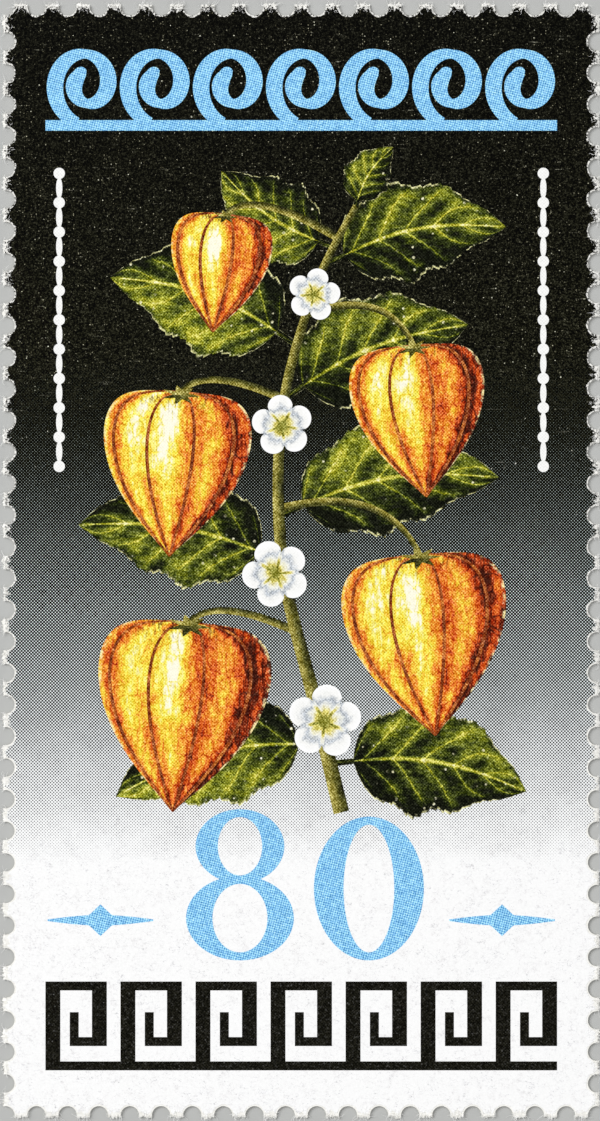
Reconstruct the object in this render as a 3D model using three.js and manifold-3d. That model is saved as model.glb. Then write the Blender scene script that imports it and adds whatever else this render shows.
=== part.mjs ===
// A gummed postage stamp, lying flat on its back with the printed face up.
// Millimetres, +Z up. The origin is the centre of the gummed back, on the surface that it lies on.
// It is a stack: dried gum, paper, the coated face with its printed ground, then three passes of ink.
import * as THREE from "three";
import { mergeVertices } from "three/addons/utils/BufferGeometryUtils.js";
import Module from "manifold-3d";

const wasm = await Module();
wasm.setup();

// ---- Driving dimensions ----

// Perforation
const ROW_WIDTH = 28.0; // between the side rows of holes, centre to centre
const GAPS_ACROSS = 19; // hole spacings along the top and the bottom
const GAPS_UP = 33; // even hole spacings along each side
const PITCH_UP = 1.494; // side holes, centre to centre
const TOP_GAP = 1.66; // from the top row to the first side hole
const BOTTOM_GAP = 1.51; // from the last side hole to the bottom row
const ROW_HEIGHT = TOP_GAP + GAPS_UP * PITCH_UP + BOTTOM_GAP;
const HOLE_RADIUS = 0.435;
const TEAR = 0.1; // how far the torn teeth reach past the line of hole centres

// Thicknesses, from the back up
const GUM = 0.015;
const PAPER = 0.09;
const COATING = 0.012;
const INK = 0.004; // one pass of ink
const FACE = GUM + PAPER + COATING; // the height that the first pass is printed on

// Where punching and tearing leave bare paper round the coating
const CHIPPED_RIM = 0.05; // round each hole
const CHIPPED_TIP = 0.26; // at the tip of each tooth

// Border ornaments: a wave scroll along the top and a square key along the bottom
const BORDER_HALF = 12.1; // both run this far each side of the middle
const BORDER_UNITS = 7;
const SCROLL_FOOT = 20.35;
const SCROLL_BAR = 0.5; // the bar that the waves rise from
const WAVE_EYE = 2.2; // centre of each curl, above the foot
const WAVE_START = 1.9; // distance from the eye at the start of a curl
const WAVE_END = 0.4; // and at its end
const WAVE_TURNS = 1.45;
const WAVE_LEAN = (255 * Math.PI) / 180; // direction from the eye in which a curl starts
const WAVE_SQUEEZE = 0.88; // width of a curl for its height
const WAVE_THIN = 0.42; // width of the line where it runs level
const WAVE_SWELL = 0.36; // and how much wider it is where it runs upright
const WAVE_BALL = 0.42; // radius of the ball at the end of a curl
const KEY_FOOT = -24.1;
const KEY_HEIGHT = 4.2;
const KEY_POST = 0.7; // width of the upright strokes
const KEY_BAR = 0.42; // and of the level ones
const KEY_SPAN = 2.9; // width of one key
const KEY_HOOK = 1.15; // how far in from the left and the foot its inner strokes start
const KEY_REACH = 2.75; // height that the inner upright stroke reaches

// Bead lines up both sides
const BEAD_X = 11.45;
const BEAD_LOW = 4.2;
const BEAD_HIGH = 18.6;
const BEAD_PAIRS = 10;
const BEAD_RADIUS = 0.27;
const ALMOND = [0.15, 0.5]; // half width and half height of the long beads, which run into the round

// The value, in two plain figures, with a rule each side
const VALUE_FOOT = -18.9;
const ZERO_X = 3.2;
const ZERO = { outer: [2.6, 3.4], inner: [1.2, 3.02] }; // half widths and half heights
const EIGHT_X = -2.9;
const EIGHT_LOW = { outer: [2.55, 2.0], inner: [1.3, 1.62] };
const EIGHT_HIGH = { outer: [2.1, 1.75], inner: [1.05, 1.38] };
const EIGHT_WAIST = 0.35; // how far its two rings run into each other
const RULE_X = 9.5;
const RULE_Y = -17.0;
const RULE_HALF = 2.5;
const RULE_SWELL = [0.08, 0.5]; // width of a rule at its ends and in the middle
const LOZENGE = [0.8, 0.75];

// The sprig. Its stem runs up the middle, and `node` is the share of it where a stalk or leaf leaves.
const STEM = [[1.9, -11.9], [0.6, -6.5], [-0.9, 0], [-0.9, 7], [0.7, 13], [2.6, 16.8]];
const STEM_WIDTH = [0.75, 0.3];
const STALK_WIDTH = [0.4, 0.26];
const STALK_ARCH = 1.3; // how far a stalk rises above its ends

// Lanterns hang from their tops
const LANTERNS = [
  { top: [-5.3, -2.9], width: 8.2, height: 9.0, tilt: -5, node: 0.3 },
  { top: [5.6, 0.3], width: 7.8, height: 8.6, tilt: 5, node: 0.47 },
  { top: [-5.7, 8.0], width: 7.0, height: 7.8, tilt: -4, node: 0.62 },
  { top: [5.3, 10.2], width: 6.4, height: 7.2, tilt: 5, node: 0.75 },
  { top: [-3.6, 16.4], width: 4.8, height: 5.6, tilt: -6, node: 0.9 },
];
const LANTERN_SWELL = [0.5, 1.05]; // fullness of the shoulders, and how drawn out the tip is
const LANTERN_SHOULDER = 0.14; // how far the shoulders rise round the stalk, as a share of the height
const RIBS = [-60, -24, 13, 50]; // degrees round from the middle of the side that shows
const RIB_WIDTH = [0.06, 0.16]; // at its ends and in the middle

// Leaves grow from the stem: direction in degrees, length, half width and sideways bend
const LEAVES = [
  { node: 0.1, turn: -8, length: 9.4, half: 2.5, bend: 0.8 },
  { node: 0.13, turn: 194, length: 10.2, half: 2.4, bend: -0.9 },
  { node: 0.4, turn: 170, length: 9.8, half: 2.5, bend: -0.7 },
  { node: 0.46, turn: 10, length: 10.6, half: 2.4, bend: 0.9 },
  { node: 0.62, turn: 22, length: 9.4, half: 2.5, bend: 0.7 },
  { node: 0.7, turn: 160, length: 9.4, half: 2.6, bend: -0.8 },
  { node: 0.84, turn: 12, length: 8.8, half: 2.2, bend: 0.8 },
  { node: 0.88, turn: 146, length: 6.4, half: 1.9, bend: 0.5 },
  { node: 0.99, turn: 58, length: 3.4, half: 1.0, bend: 0.3 },
];
const LEAF_STALK = [0.3, 0.12]; // width, and share of the length that is bare stalk
const LEAF_SWELL = [0.6, 1.0]; // fullness towards the stalk and towards the tip
const LEAF_WAVES = 3.5; // waves along each edge
const LEAF_WAVE = 0.08; // their height, as a share of the half width

// Blossoms stand where leaves meet the stem: centre, radius and turn in degrees
const BLOSSOMS = [
  { centre: [1.1, -7.6], radius: 1.75, turn: 12 },
  { centre: [-1.2, -0.6], radius: 1.6, turn: 40 },
  { centre: [-0.9, 6.4], radius: 1.45, turn: 24 },
  { centre: [0.6, 12.6], radius: 1.25, turn: 5 },
];
const LOBES = 5;
const LOBE_DEPTH = 0.36; // how far the notches between the lobes reach in, as a share of the radius

// Chords on curves
const ARC_STEPS = 3; // half the chords on each punched arc
const CURVE_STEPS = 12;
const BEAD_STEPS = 8;

const COLOUR = {
  gum: "#d9d3bd",
  paper: "#f4f2ea",
  ground: "#55564f",
  blue: "#7fbdf0",
  black: "#1d1e19",
  white: "#f7f7f2",
  green: "#7d8a2c",
  orange: "#e8772a",
  brown: "#98491a",
};

// ---- Flat shapes ----

const turned = (degrees) => (degrees * Math.PI) / 180;
const point = ([x, y]) => new THREE.Vector2(x, y);
const fractions = (count) => Array.from({ length: count + 1 }, (_, i) => i / count);
const between = ([start, end], t) => start + (end - start) * t;

// A hump from 0 to 1 and back to 0 over t = 0 to 1; small powers make its own end full.
function swell([rise, fall], t) {
  const crest = rise / (rise + fall);
  return (t / crest) ** rise * ((1 - t) / (1 - crest)) ** fall;
}

function ellipse(x, y, [halfWidth, halfHeight], chords = 2 * CURVE_STEPS) {
  const rim = fractions(chords).slice(1).map((t) => 2 * Math.PI * t);
  const corner = (angle) => point([x + halfWidth * Math.cos(angle), y + halfHeight * Math.sin(angle)]);
  return new THREE.Shape(rim.map(corner));
}

function ring(x, y, { outer, inner }) {
  const shape = ellipse(x, y, outer);
  shape.holes.push(ellipse(x, y, inner));
  return shape;
}

function bar(left, foot, width, height) {
  const right = left + width;
  const head = foot + height;
  return new THREE.Shape([[left, foot], [right, foot], [right, head], [left, head]].map(point));
}

function lozenge(x, y, [halfWidth, halfHeight]) {
  const tips = [[x - halfWidth, y], [x, y - halfHeight], [x + halfWidth, y], [x, y + halfHeight]];
  return new THREE.Shape(tips.map(point));
}

// A strip along a line of points, as wide as `widthAt` says for each share of the line
function strip(line, widthAt) {
  const last = line.length - 1;
  const side = (sign) =>
    line.map((place, i) => {
      const along = line[Math.min(i + 1, last)].clone().sub(line[Math.max(i - 1, 0)]).normalize();
      const across = new THREE.Vector2(-along.y, along.x);
      return place.clone().addScaledVector(across, (sign * widthAt(i / last)) / 2);
    });
  return new THREE.Shape([...side(1), ...side(-1).reverse()]);
}

// ---- The perforated outline ----

function holesAcross() {
  const pitch = ROW_WIDTH / GAPS_ACROSS;
  return Array.from({ length: GAPS_ACROSS + 1 }, (_, i) => -ROW_WIDTH / 2 + i * pitch);
}

function holesUp() {
  const foot = -ROW_HEIGHT / 2;
  const side = Array.from({ length: GAPS_UP + 1 }, (_, i) => foot + BOTTOM_GAP + i * PITCH_UP);
  return [foot, ...side, -foot];
}

// Tooth tips reach `tip` past the line of hole centres, and each hole has the given radius.
function perforatedOutline(tip, radius) {
  const shape = new THREE.Shape();
  const lean = Math.asin(tip / radius); // how far past a half turn each bite runs
  const right = ROW_WIDTH / 2;
  const top = ROW_HEIGHT / 2;
  const bite = (x, y, middle, half) =>
    shape.absarc(x, y, radius, middle + half + lean, middle - half - lean, true);
  const side = (x, y, middle) => bite(x, y, middle, Math.PI / 2);
  const corner = (x, y, middle) => bite(x, y, middle, Math.PI / 4);
  const across = holesAcross().slice(1, -1);
  const up = holesUp().slice(1, -1);
  corner(-right, -top, Math.PI / 4);
  across.forEach((x) => side(x, -top, Math.PI / 2));
  corner(right, -top, (3 * Math.PI) / 4);
  up.forEach((y) => side(right, y, Math.PI));
  corner(right, top, (5 * Math.PI) / 4);
  [...across].reverse().forEach((x) => side(x, top, (3 * Math.PI) / 2));
  corner(-right, top, (7 * Math.PI) / 4);
  [...up].reverse().forEach((y) => side(-right, y, 0));
  shape.closePath();
  return shape;
}

// ---- The ornaments ----

// One curl of the scroll: it leaves the bar, rises on the left, turns over and closes in on its eye.
function wave(index) {
  const eyeX = -BORDER_HALF + ((index + 0.56) * 2 * BORDER_HALF) / BORDER_UNITS;
  const eyeY = SCROLL_FOOT + WAVE_EYE;
  const angleAt = (t) => WAVE_LEAN - 2 * Math.PI * WAVE_TURNS * t;
  const placeAt = (t) => {
    const reach = between([WAVE_START, WAVE_END], t);
    return point([
      eyeX + WAVE_SQUEEZE * reach * Math.cos(angleAt(t)),
      eyeY + reach * Math.sin(angleAt(t)),
    ]);
  };
  const widthAt = (t) => WAVE_THIN + WAVE_SWELL * Math.abs(Math.cos(angleAt(t)));
  const ball = placeAt(1);
  return [
    strip(fractions(2 * CURVE_STEPS).map(placeAt), widthAt),
    ellipse(ball.x, ball.y, [WAVE_BALL, WAVE_BALL], CURVE_STEPS),
  ];
}

function waveScroll() {
  const foot = bar(-BORDER_HALF, SCROLL_FOOT, 2 * BORDER_HALF, SCROLL_BAR);
  return [foot, ...Array.from({ length: BORDER_UNITS }, (_, i) => wave(i)).flat()];
}

// One key, from the right side of its post, round its hook and back down the left side
function squareKey(index) {
  const left = -BORDER_HALF + (index * (2 * BORDER_HALF - KEY_SPAN)) / (BORDER_UNITS - 1);
  const corners = [
    [KEY_POST, KEY_BAR],
    [KEY_POST, KEY_HEIGHT - KEY_BAR],
    [KEY_SPAN - KEY_POST, KEY_HEIGHT - KEY_BAR],
    [KEY_SPAN - KEY_POST, KEY_HOOK + KEY_BAR],
    [KEY_HOOK + KEY_BAR, KEY_HOOK + KEY_BAR],
    [KEY_HOOK + KEY_BAR, KEY_REACH],
    [KEY_HOOK, KEY_REACH],
    [KEY_HOOK, KEY_HOOK],
    [KEY_SPAN, KEY_HOOK],
    [KEY_SPAN, KEY_HEIGHT],
    [0, KEY_HEIGHT],
    [0, KEY_BAR],
  ];
  return corners.map(([x, y]) => point([left + x, KEY_FOOT + y]));
}

function keyBorder() {
  const foot = [[-BORDER_HALF, KEY_FOOT], [BORDER_HALF, KEY_FOOT], [BORDER_HALF, KEY_FOOT + KEY_BAR]];
  const keys = Array.from({ length: BORDER_UNITS }, (_, i) => squareKey(BORDER_UNITS - 1 - i));
  return [new THREE.Shape([...foot.map(point), ...keys.flat()])];
}

// Round beads with long ones between them
function beadLine(x) {
  const pitch = (BEAD_HIGH - BEAD_LOW - 2 * BEAD_RADIUS) / BEAD_PAIRS;
  const first = BEAD_LOW + BEAD_RADIUS;
  const rounds = fractions(BEAD_PAIRS).map((t) => first + t * BEAD_PAIRS * pitch);
  return [
    ...rounds.map((y) => ellipse(x, y, [BEAD_RADIUS, BEAD_RADIUS], BEAD_STEPS)),
    ...rounds.slice(1).map((y) => ellipse(x, y - pitch / 2, ALMOND, BEAD_STEPS)),
  ];
}

function figureZero() {
  return [ring(ZERO_X, VALUE_FOOT + ZERO.outer[1], ZERO)];
}

function figureEight() {
  const lowY = VALUE_FOOT + EIGHT_LOW.outer[1];
  const highY = lowY + EIGHT_LOW.outer[1] + EIGHT_HIGH.outer[1] - EIGHT_WAIST;
  return [ring(EIGHT_X, lowY, EIGHT_LOW), ring(EIGHT_X, highY, EIGHT_HIGH)];
}

// A rule that swells towards a lozenge in its middle
function swelledRule(x) {
  const line = fractions(CURVE_STEPS).map((t) => point([x + (2 * t - 1) * RULE_HALF, RULE_Y]));
  const widthAt = (t) => between(RULE_SWELL, Math.sin(Math.PI * t));
  return [strip(line, widthAt), lozenge(x, RULE_Y, LOZENGE)];
}

// ---- The sprig ----

const stemLine = new THREE.SplineCurve(STEM.map(point));

function stem() {
  return strip(stemLine.getPoints(2 * CURVE_STEPS), (t) => between(STEM_WIDTH, t));
}

// A stalk arches from the stem to the top of a lantern.
function stalk({ top, node }) {
  const start = stemLine.getPoint(node);
  const crest = point([between([start.x, top[0]], 0.75), Math.max(start.y, top[1]) + STALK_ARCH]);
  const line = new THREE.QuadraticBezierCurve(start, crest, point(top));
  return strip(line.getPoints(CURVE_STEPS / 2), (t) => between(STALK_WIDTH, t));
}

// A leaf runs out along a bent rib, with a wavy edge past its bare stalk.
function leaf({ node, turn, length, half, bend }) {
  const foot = stemLine.getPoint(node);
  const [stalkWidth, bare] = LEAF_STALK;
  const line = fractions(CURVE_STEPS).map((t) =>
    point([length * t, bend * Math.sin(Math.PI * t)]).rotateAround(point([0, 0]), turned(turn)).add(foot),
  );
  const widthAt = (t) => {
    const blade = Math.max(0, (t - bare) / (1 - bare));
    const edge = 1 + LEAF_WAVE * Math.sin(2 * Math.PI * LEAF_WAVES * blade);
    return stalkWidth * (1 - t) + 2 * half * swell(LEAF_SWELL, blade) * edge;
  };
  return strip(line, widthAt);
}

// A place on a lantern: `down` from 0 at its top to 1 at its tip, `across` from edge to edge, -1 to 1
function lanternPlace({ top, width, height, tilt }, down, across) {
  const reach = across * swell(LANTERN_SWELL, down);
  const rise = LANTERN_SHOULDER * reach ** 2 * (1 - down) ** 2;
  const place = point([(reach * width) / 2, height * (rise - down)]);
  return place.rotateAround(point([0, 0]), turned(tilt)).add(point(top));
}

// The shares of a lantern's height that its curves pass through, closer together at both ends
const lanternRows = (count) => fractions(count).map((t) => (1 - Math.cos(Math.PI * t)) / 2);

function lantern(spec) {
  const rows = lanternRows(CURVE_STEPS);
  const right = rows.map((down) => lanternPlace(spec, down, 1));
  const left = rows.slice(1, -1).map((down) => lanternPlace(spec, down, -1));
  return [new THREE.Shape([...right, ...left.reverse()])];
}

// The ribs run round a lantern from its top to its tip, where they meet.
function lanternRibs(spec) {
  const rows = lanternRows((2 * CURVE_STEPS) / 3);
  const widthAt = (t) => between(RIB_WIDTH, Math.sin(Math.PI * t));
  const line = (degrees) => rows.map((down) => lanternPlace(spec, down, Math.sin(turned(degrees))));
  return RIBS.map((degrees) => strip(line(degrees), widthAt));
}

function blossom({ centre, radius, turn }) {
  const rim = fractions(LOBES * 6).slice(1).map((t) => {
    const angle = 2 * Math.PI * t;
    const reach = radius * (1 - LOBE_DEPTH + LOBE_DEPTH * Math.abs(Math.cos((LOBES * angle) / 2)) ** 0.6);
    return point([reach, 0]).rotateAround(point([0, 0]), angle + turned(turn)).add(point(centre));
  });
  return [new THREE.Shape(rim)];
}

// ---- Solids ----

// Flat shapes fused into one solid that is `thickness` deep
function solid(shapes, thickness) {
  const parts = shapes.map((shape) => {
    const settings = { depth: thickness, bevelEnabled: false, curveSegments: CURVE_STEPS };
    const plain = new THREE.ExtrudeGeometry(shape, settings);
    plain.deleteAttribute("normal");
    plain.deleteAttribute("uv");
    const merged = mergeVertices(plain);
    const vertProperties = merged.getAttribute("position").array;
    const triVerts = new Uint32Array(merged.getIndex().array);
    return new wasm.Manifold(new wasm.Mesh({ numProp: 3, vertProperties, triVerts }));
  });
  const whole = parts.reduce((sum, next) => sum.add(next)).getMesh();
  const geometry = new THREE.BufferGeometry();
  geometry.setAttribute("position", new THREE.BufferAttribute(whole.vertProperties, 3));
  geometry.setIndex(new THREE.BufferAttribute(whole.triVerts, 1));
  return geometry;
}

const stamp = new THREE.Group();

function add(name, geometry, low, colour, roughness) {
  const material = new THREE.MeshStandardMaterial({ color: colour, roughness, metalness: 0 });
  const mesh = new THREE.Mesh(geometry, material);
  mesh.name = name;
  mesh.position.z = low;
  stamp.add(mesh);
}

// One layer of the sheet
function layer(name, outline, low, thickness, colour, roughness) {
  const settings = { depth: thickness, bevelEnabled: false, curveSegments: ARC_STEPS };
  add(name, new THREE.ExtrudeGeometry(outline, settings), low, colour, roughness);
}

// One piece of print. Each pass lies on the one before.
function print(name, shapes, pass, colour) {
  add(name, solid(shapes, INK), FACE + (pass - 1) * INK, colour, 0.5);
}

const sheetOutline = perforatedOutline(TEAR, HOLE_RADIUS);
const faceOutline = perforatedOutline(TEAR - CHIPPED_TIP, HOLE_RADIUS + CHIPPED_RIM);
layer("gum_film", sheetOutline, 0, GUM, COLOUR.gum, 0.35);
layer("paper_sheet", sheetOutline, GUM, PAPER, COLOUR.paper, 0.9);
layer("printed_face", faceOutline, GUM + PAPER, COATING, COLOUR.ground, 0.55);

print("wave_scroll", waveScroll(), 1, COLOUR.blue);
print("square_key", keyBorder(), 1, COLOUR.black);
print("bead_line_left", beadLine(-BEAD_X), 1, COLOUR.white);
print("bead_line_right", beadLine(BEAD_X), 1, COLOUR.white);
print("figure_eight", figureEight(), 1, COLOUR.blue);
print("figure_zero", figureZero(), 1, COLOUR.blue);
print("rule_left", swelledRule(-RULE_X), 1, COLOUR.blue);
print("rule_right", swelledRule(RULE_X), 1, COLOUR.blue);

print("sprig", [stem(), ...LANTERNS.map(stalk), ...LEAVES.map(leaf)], 1, COLOUR.green);
LANTERNS.forEach((spec, i) => {
  print(`lantern_${i + 1}`, lantern(spec), 2, COLOUR.orange);
  print(`lantern_ribs_${i + 1}`, lanternRibs(spec), 3, COLOUR.brown);
});
BLOSSOMS.forEach((spec, i) => print(`blossom_${i + 1}`, blossom(spec), 2, COLOUR.white));

export default stamp;
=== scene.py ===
import functools
import math
import random

import bmesh
import bpy
from mathutils import Matrix, Vector, noise


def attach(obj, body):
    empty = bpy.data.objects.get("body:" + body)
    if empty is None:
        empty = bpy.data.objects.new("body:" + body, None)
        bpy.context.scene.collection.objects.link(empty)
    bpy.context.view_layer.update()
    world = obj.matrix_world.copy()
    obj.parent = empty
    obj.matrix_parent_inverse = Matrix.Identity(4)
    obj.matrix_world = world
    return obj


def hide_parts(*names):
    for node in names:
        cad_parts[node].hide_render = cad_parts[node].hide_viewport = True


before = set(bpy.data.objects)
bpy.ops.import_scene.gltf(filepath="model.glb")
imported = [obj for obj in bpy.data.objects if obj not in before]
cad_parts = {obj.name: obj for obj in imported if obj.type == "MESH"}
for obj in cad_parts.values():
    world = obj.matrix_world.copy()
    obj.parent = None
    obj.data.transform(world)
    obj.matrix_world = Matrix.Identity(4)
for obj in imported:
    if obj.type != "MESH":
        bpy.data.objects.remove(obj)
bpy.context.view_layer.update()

bl_info = {
    "name": "Gummed stamp",
    "version": (1, 0, 0),
    "blender": (4, 5, 0),
    "location": "3D View > Sidebar > Stamp",
    "description": "Models a perforated, gummed and printed stamp, lying face up",
    "category": "Add Mesh",
}

MM = 0.001
BODY = "root"
PAINT = "Paint"
CROSSING = 1.125  # passes of ink in a shape that crosses others of its piece, so a hair higher
SCREEN_TURN = 45.0  # degrees, the halftone screen of most inks
BLUE_TURN = 15.0
GAMMA = 2.2  # turns linear light into what looks even to the eye
GRAIN = 12.0  # specks of grain in a millimetre
DOT_SOFT = 0.12  # half the width of the rim of a dot, as a share of the screen's swing
SHEET_TOP = 26.3  # height at which the ground is at its deepest
FADE_BEND = 1.15  # over 1, the fade starts slowly at its dark end

ARC_POINTS = 15  # round each hole
TEAR_POINTS = 19  # along each torn tooth
CHIP_WAVES = 5.0  # waves in a millimetre of a chipped rim
ROUGHNESS = ((4.0, 1.0), (11.0, 1.0), (27.0, 0.8))  # the same of a torn tooth, and their shares

# Faces across and along each kind of printed shape
BAR_GRID = (24, 1)
CURL_GRID = (4, 90)
BEAD_GRID = (28, 3)
BOWL_GRID = (96, 3)
RULE_GRID = (4, 60)
LEAF_GRID = (16, 152)
STALK_GRID = (4, 40)
STEM_GRID = (6, 120)
CAP_GRID = (112, 3)
LANTERN_GRID = (32, 48)
RIB_GRID = (2, 40)
BLOSSOM_GRID = (90, 8)


# ---- Sizes and colours that a user may change ----


def length(name, description, millimetres):
    """A length, given in millimetres and kept in metres."""
    return bpy.props.FloatProperty(
        name=name, description=description, default=millimetres * MM, unit="LENGTH", precision=6
    )


def size(name, description, width, height):
    """A width and a height, given in millimetres and kept in metres."""
    return bpy.props.FloatVectorProperty(
        name=name, description=description, default=(width * MM, height * MM), unit="LENGTH",
        size=2, precision=6,
    )


def number(name, description, default):
    return bpy.props.FloatProperty(name=name, description=description, default=default)


def angle(name, description, degrees):
    return bpy.props.FloatProperty(
        name=name, description=description, default=math.radians(degrees), subtype="ANGLE"
    )


def count(name, description, default):
    return bpy.props.IntProperty(name=name, description=description, default=default, min=1)


def linear(hex_colour):
    """A colour written as #rrggbb, in linear light."""
    parts = [int(hex_colour[i:i + 2], 16) / 255 for i in (1, 3, 5)]
    return tuple(c / 12.92 if c <= 0.04045 else ((c + 0.055) / 1.055) ** 2.4 for c in parts)


def tint(name, description, hex_colour):
    return bpy.props.FloatVectorProperty(
        name=name, description=description, default=linear(hex_colour), subtype="COLOR", size=3
    )


class StampSheet(bpy.types.PropertyGroup):
    row_width: length("Row width", "Between the side rows of holes", 28.0)
    gaps_across: count("Gaps across", "Hole spacings along the top and the bottom", 19)
    gaps_up: count("Gaps up", "Even hole spacings along each side", 33)
    pitch_up: length("Side pitch", "Between side holes, centre to centre", 1.494)
    top_gap: length("Top gap", "From the top row to the first side hole", 1.66)
    bottom_gap: length("Bottom gap", "From the last side hole to the bottom row", 1.51)
    hole_radius: length("Hole radius", "Radius of each punched hole", 0.435)
    tear: length("Tear", "How far torn teeth reach past the row of holes", 0.1)
    feather: length("Feather", "How far the upper side of a torn tooth is peeled back", 0.1)
    ragged: length("Ragged", "Unevenness of the torn edge", 0.075)
    gum: length("Gum", "Thickness of the gum", 0.015)
    paper: length("Paper", "Thickness of the paper", 0.09)
    coating: length("Coating", "Thickness of the coated face", 0.012)
    chipped_rim: length("Chipped rim", "Bare paper round each hole", 0.09)
    chipped_tip: length("Chipped tip", "Bare paper at each tooth tip", 0.26)
    fibres: count("Fibres", "Torn fibres on each tooth", 34)
    fibre_length: length("Fibre length", "Longest torn fibre", 0.42)
    fibre_radius: length("Fibre radius", "Half the thickness of a fibre", 0.011)


class StampPrint(bpy.types.PropertyGroup):
    ink: length("Ink", "Depth of a pass of ink", 0.004)
    lines: number("Screen", "Lines of the halftone screen in a millimetre", 9.3)
    dark_until: length("Dark until", "Height at which the ground starts to fade", 10.3)
    white_from: length("White from", "Height at which the ground is white", -14.6)
    deep: tint("Deep ground", "Top of the ground", "#050502")
    dark: tint("Dark ground", "Ground where it starts to fade", "#0b0b03")
    light: tint("Light ground", "Foot of the ground", "#fcfcfc")
    blue: tint("Blue", "Wave scroll, figures and rules", "#85c5f8")
    black: tint("Black", "Square key", "#121109")
    white: tint("White", "Bead lines", "#f6f6f4")


class StampBorders(bpy.types.PropertyGroup):
    half: length("Half width", "From the middle to the end of a border", 12.1)
    units: count("Units", "Turns of the wave scroll, and of the square key", 7)
    scroll_foot: length("Scroll foot", "Height of the wave scroll's foot", 20.35)
    scroll_bar: length("Scroll bar", "Thickness of the bar under the waves", 0.5)
    eye: length("Eye", "Height of a wave's centre over the scroll's foot", 2.2)
    eye_share: number("Eye place", "Share of a unit to the left of a wave's centre", 0.56)
    start: length("Start", "Radius at which a wave starts", 1.9)
    end: length("End", "Radius at which a wave ends", 0.4)
    turns: number("Turns", "Turns that a wave makes", 1.45)
    lean: angle("Lean", "Where on its round a wave starts", 255)
    squeeze: number("Squeeze", "Width of a wave for its height", 0.88)
    thin: length("Thin stroke", "A wave's line where it runs level", 0.42)
    swell: length("Swell", "How much thicker it is where it stands", 0.36)
    ball: length("Ball", "Radius of the ball that ends a wave", 0.42)
    key_foot: length("Key foot", "Height of the square key's foot", -24.1)
    key_height: length("Key height", "Height of the square key", 4.2)
    key_post: length("Key post", "Thickness of its upright strokes", 0.7)
    key_bar: length("Key bar", "Thickness of its level strokes", 0.42)
    key_span: length("Key span", "Width of one unit of the key", 2.9)
    key_hook: length("Key hook", "From a unit's sides to its inner hook", 1.15)
    key_reach: length("Key reach", "Height of the inner hook's end", 2.75)
    bead_x: length("Bead lines", "From the middle to each bead line", 11.45)
    bead_low: length("Lowest bead", "Foot of the bead lines", 4.2)
    bead_high: length("Highest bead", "Top of the bead lines", 18.6)
    bead_pairs: count("Almonds", "Almonds in a line, with a bead at each end", 10)
    bead: size("Bead", "Half width and half height of a bead", 0.27, 0.27)
    almond: size("Almond", "Half width and half height of an almond", 0.15, 0.5)


class StampValue(bpy.types.PropertyGroup):
    foot: length("Foot", "Height of the figures' feet", -18.9)
    zero_x: length("Zero", "Middle of the figure 0", 3.2)
    zero_outer: size("Zero outside", "Half width and half height", 2.6, 3.4)
    zero_inner: size("Zero inside", "Half width and half height", 1.2, 3.02)
    eight_x: length("Eight", "Middle of the figure 8", -2.9)
    low_outer: size("Lower bowl outside", "Half width and half height", 2.55, 2.0)
    low_inner: size("Lower bowl inside", "Half width and half height", 1.3, 1.62)
    high_outer: size("Upper bowl outside", "Half width and half height", 2.1, 1.75)
    high_inner: size("Upper bowl inside", "Half width and half height", 1.05, 1.38)
    waist: length("Waist", "How far the bowls of the 8 lap over each other", 0.35)
    rule_x: length("Rules", "From the middle to each rule's middle", 9.5)
    rule_y: length("Rule height", "Height of the rules", -17.0)
    rule_half: length("Rule half length", "Half the length of a rule", 2.5)
    rule_thin: length("Rule end", "Thickness of a rule at its ends", 0.08)
    rule_thick: length("Rule middle", "Thickness of a rule before its lozenge", 0.5)
    lozenge: size("Lozenge", "Half width and half height of a rule's lozenge", 0.8, 0.75)


class StampStage(bpy.types.PropertyGroup):
    lens: bpy.props.FloatProperty(name="Lens", description="Focal length", default=150.0, unit="CAMERA")
    frame_height: length("Frame height", "What the picture shows from top to bottom", 53.03)
    camera_x: length("Camera X", "Camera to the right of the stamp's centre", -0.059)
    camera_y: length("Camera Y", "Camera above the stamp's centre", 0.017)
    floor: tint("Floor", "Colour of the table", "#bbbcba")


GROUPS = {
    "sheet": StampSheet,
    "print": StampPrint,
    "borders": StampBorders,
    "value": StampValue,
    "stage": StampStage,
}


class Settings:
    """One group of the chosen settings, with its lengths in millimetres."""

    def __init__(self, group):
        self.group = getattr(bpy.context.scene, "stamp_" + group)

    def __getattr__(self, name):
        value = getattr(self.group, name)
        kind = self.group.bl_rna.properties[name]
        if kind.unit != "LENGTH":
            return value
        return tuple(v / MM for v in value) if kind.is_array else value / MM


# ---- Shared shapes, in millimetres ----


def mix(a, b, t):
    return a + (b - a) * t


def swell(rise, fall, t):
    """A hump from 0 to 1 and back to 0 over t = 0 to 1."""
    crest = rise / (rise + fall)
    return (t / crest) ** rise * ((1 - t) / (1 - crest)) ** fall


def spline(points, t):
    """A place on a smooth curve through the points, for t from 0 to 1."""
    reach = t * (len(points) - 1)
    i = min(int(reach), len(points) - 2)
    w = reach - i
    a, b, c, d = (Vector(points[min(max(i + k, 0), len(points) - 1)]) for k in (-1, 0, 1, 2))
    slope_b = (c - a) / 2
    slope_c = (d - b) / 2
    return (
        b * (2 * w**3 - 3 * w**2 + 1) + slope_b * (w**3 - 2 * w**2 + w)
        + c * (3 * w**2 - 2 * w**3) + slope_c * (w**3 - w**2)
    )


def across(place_at, t, step=1e-3):
    """The direction to the left of a line, at t."""
    along = place_at(min(t + step, 1)) - place_at(max(t - step, 0))
    return Vector((-along.y, along.x)).normalized()


def strip_place(place_at, width_at):
    """Maps a grid onto a strip: u from -1 to 1 across it and v from 0 to 1 along it."""
    def place(u, v):
        return place_at(v) + across(place_at, v) * (u * width_at(v) / 2)
    return place


def face_height():
    sheet = Settings("sheet")
    return sheet.gum + sheet.paper + sheet.coating


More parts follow.
